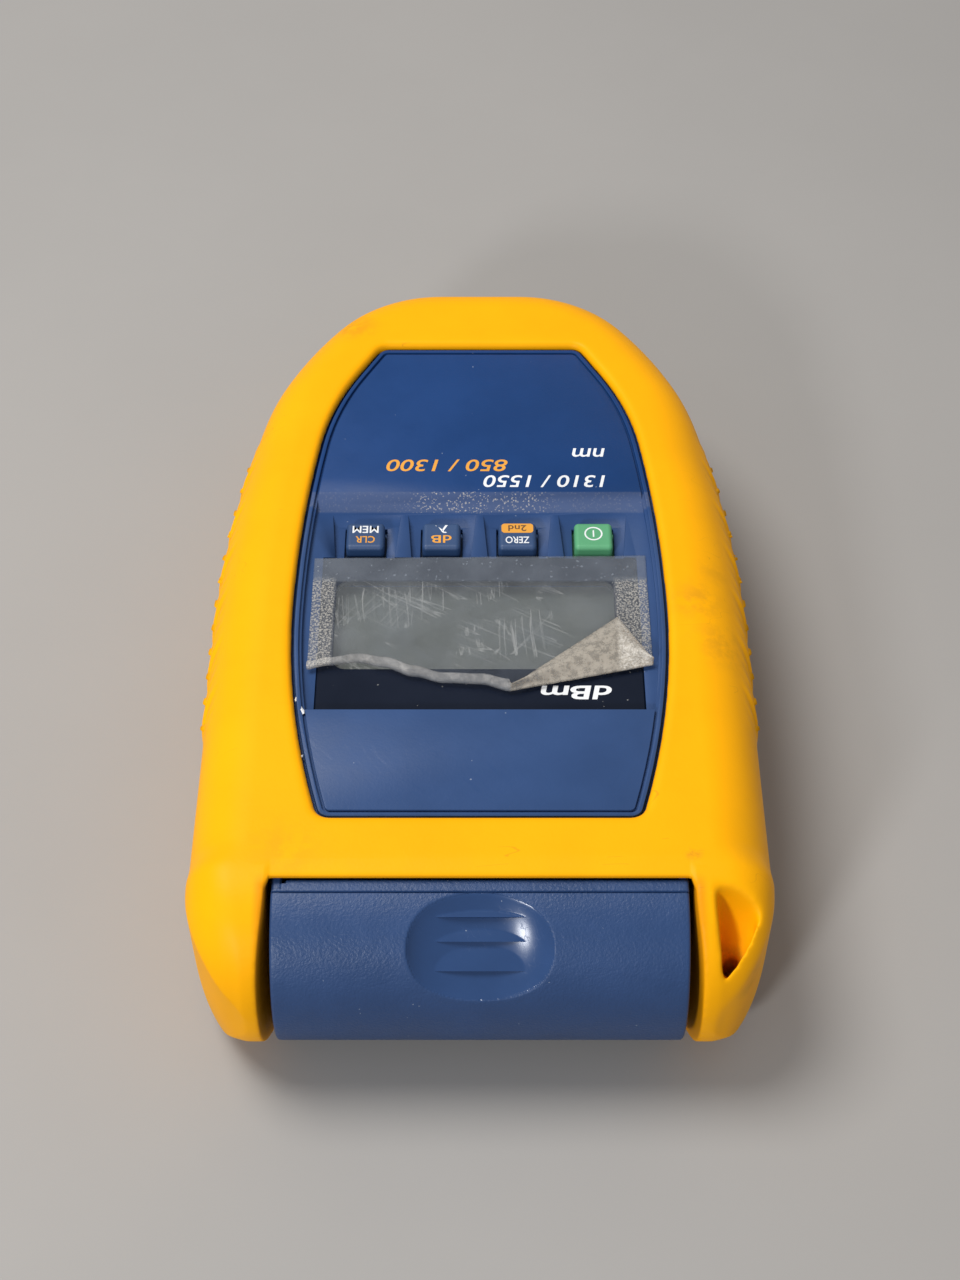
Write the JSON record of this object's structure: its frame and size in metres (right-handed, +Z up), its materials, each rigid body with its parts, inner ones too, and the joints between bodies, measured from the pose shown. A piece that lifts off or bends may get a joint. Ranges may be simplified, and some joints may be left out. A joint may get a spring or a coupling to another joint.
{
  "type": "optical power meter",
  "caption": "Handheld optical power meter in a rubber holster, with a display, a row of keys and a rolling cover over its optical port.",
  "frame": {"origin": "middle of the footprint, on the surface that the meter's back rests on", "axes": "+Z up out of the display, -Y towards the optical port end, +X towards the side with the lanyard hole"},
  "size_m": [0.0942, 0.155, 0.038],
  "materials": {
    "yellow_rubber": "satin moulded rubber",
    "blue_plastic": "fine textured plastic",
    "blue_rubber": "satin moulded rubber",
    "green_rubber": "satin moulded rubber",
    "dark_lens": "clear acrylic, printed dark on its back",
    "display_glass": "liquid crystal glass",
    "film": "clear protective film, clouded and worn",
    "grey_plastic": "moulded plastic",
    "pink_rubber": "layered contact rubber",
    "grey_rubber": "soft rubber",
    "green_board": "lacquered glass-fibre board",
    "chip": "moulded epoxy",
    "battery_jacket": "plain printed jacket",
    "black_plastic": "moulded plastic",
    "nickel": "nickel plated",
    "steel": "zinc plated",
    "white_ceramic": "ground zirconia",
    "amber_film": "flexible circuit film"
  },
  "bodies": {
    "meter": {"adapter_screws": "steel", "amplifier_chip": "chip", "back_shell": "blue_plastic", "battery_cell": "battery_jacket", "battery_door": "blue_plastic", "battery_pad": "grey_rubber", "battery_snap": "grey_plastic", "board_screws": "steel", "buzzer": "chip", "case_screws": "steel", "contact_strip_far": "pink_rubber", "contact_strip_near": "pink_rubber", "converter_chip": "chip", "detector": "nickel", "detector_board": "green_board", "detector_flex": "amber_film", "display_lens": "dark_lens", "door_screw": "steel", "ferrule_sleeve": "white_ceramic", "flex_socket": "grey_plastic", "front_shell": "blue_plastic", "holster": "yellow_rubber", "keypad_mat": "grey_rubber", "lcd_frame": "grey_plastic", "lcd_panel": "display_glass", "left_pivot_pin": "steel", "main_board": "green_board", "pivot_washers": "grey_rubber", "port_adapter": "nickel", "port_block": "black_plastic", "processor_chip": "chip", "right_pivot_pin": "steel", "screen_film": "film"},
    "cover": {"port_cover": "blue_plastic"},
    "memory": {"memory_key": "blue_rubber"},
    "wavelength": {"wavelength_key": "blue_rubber"},
    "reference": {"reference_key": "blue_rubber"},
    "power": {"power_key": "green_rubber"}
  },
  "joints": [
    {"name": "cover_roll", "type": "hinge", "parent": "meter", "child": "cover", "pos_m": [0, -0.0605, 0.019], "axis": [1, 0, 0], "range_deg": [0, 108]},
    {"name": "memory_press", "type": "slide", "parent": "meter", "child": "memory", "axis": [0, 0, -1], "range_m": [0, 0.0009], "stiffness_N_per_m": 1200},
    {"name": "wavelength_press", "type": "slide", "parent": "meter", "child": "wavelength", "axis": [0, 0, -1], "range_m": [0, 0.0009], "stiffness_N_per_m": 1200},
    {"name": "reference_press", "type": "slide", "parent": "meter", "child": "reference", "axis": [0, 0, -1], "range_m": [0, 0.0009], "stiffness_N_per_m": 1200},
    {"name": "power_press", "type": "slide", "parent": "meter", "child": "power", "axis": [0, 0, -1], "range_m": [0, 0.0009], "stiffness_N_per_m": 1200}
  ]
}
